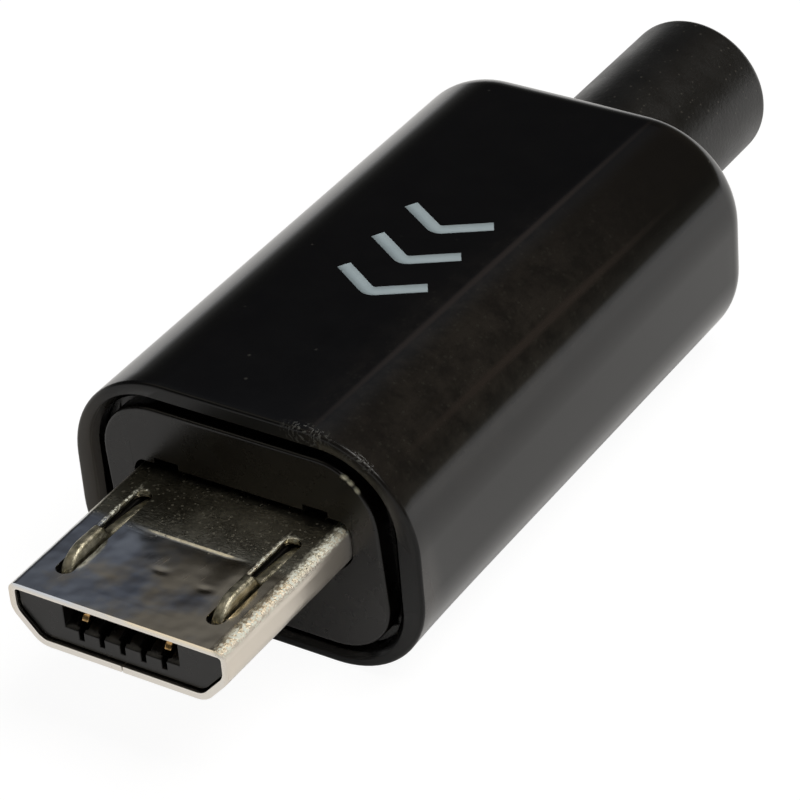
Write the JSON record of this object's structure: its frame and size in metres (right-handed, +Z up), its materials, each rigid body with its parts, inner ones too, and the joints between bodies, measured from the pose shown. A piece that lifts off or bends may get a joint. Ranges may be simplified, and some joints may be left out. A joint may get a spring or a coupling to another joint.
{
  "type": "micro usb plug",
  "caption": "Small cable plug: folded metal nose with latch hooks and spring contacts, in a glossy rounded housing with a matte front collar and a soft strain relief sleeve.",
  "frame": {"origin": "middle of the housing's flat underside", "axes": "+Z up from the underside, -Y the way the nose points, +X to the right as seen from the nose"},
  "size_m": [0.0108, 0.0312, 0.0073],
  "materials": {
    "housing": "polished black moulding",
    "collar": "fine matte black moulding",
    "sleeve": "matte soft black",
    "shell": "bright nickel plate with light scuffs",
    "insulator": "dark grey moulding",
    "contact": "gold plate",
    "latch": "nickel plate, worn at the hook"
  },
  "bodies": {
    "plug_body": {"outer_housing": "housing", "front_collar": "collar", "strain_relief": "sleeve", "metal_shell": "shell", "insulator": "insulator"},
    "latch_left": {"latch_left": "latch"},
    "latch_right": {"latch_right": "latch"},
    "contact_1": {"contact_1": "contact"},
    "contact_2": {"contact_2": "contact"},
    "contact_3": {"contact_3": "contact"},
    "contact_4": {"contact_4": "contact"},
    "contact_5": {"contact_5": "contact"}
  },
  "joints": [
    {"name": "latch_left_press", "type": "hinge", "parent": "plug_body", "child": "latch_left", "pos_m": [-0.00237, -0.00695, 0.00405], "axis": [1, 0, 0], "range_deg": [0, 3.7], "stiffness_Nm_per_rad": 0.16},
    {"name": "latch_right_press", "type": "hinge", "parent": "plug_body", "child": "latch_right", "pos_m": [0.00237, -0.00695, 0.00405], "axis": [1, 0, 0], "range_deg": [0, 3.7], "stiffness_Nm_per_rad": 0.16},
    {"name": "contact_1_press", "type": "hinge", "parent": "plug_body", "child": "contact_1", "pos_m": [-0.0013, -0.0045, 0.0036], "axis": [1, 0, 0], "range_deg": [0, 1.2], "stiffness_Nm_per_rad": 0.2},
    {"name": "contact_2_press", "type": "hinge", "parent": "plug_body", "child": "contact_2", "pos_m": [-0.00065, -0.0045, 0.0036], "axis": [1, 0, 0], "range_deg": [0, 1.2], "stiffness_Nm_per_rad": 0.2},
    {"name": "contact_3_press", "type": "hinge", "parent": "plug_body", "child": "contact_3", "pos_m": [0, -0.0045, 0.0036], "axis": [1, 0, 0], "range_deg": [0, 1.2], "stiffness_Nm_per_rad": 0.2},
    {"name": "contact_4_press", "type": "hinge", "parent": "plug_body", "child": "contact_4", "pos_m": [0.00065, -0.0045, 0.0036], "axis": [1, 0, 0], "range_deg": [0, 1.2], "stiffness_Nm_per_rad": 0.2},
    {"name": "contact_5_press", "type": "hinge", "parent": "plug_body", "child": "contact_5", "pos_m": [0.0013, -0.0045, 0.0036], "axis": [1, 0, 0], "range_deg": [0, 1.2], "stiffness_Nm_per_rad": 0.2}
  ]
}
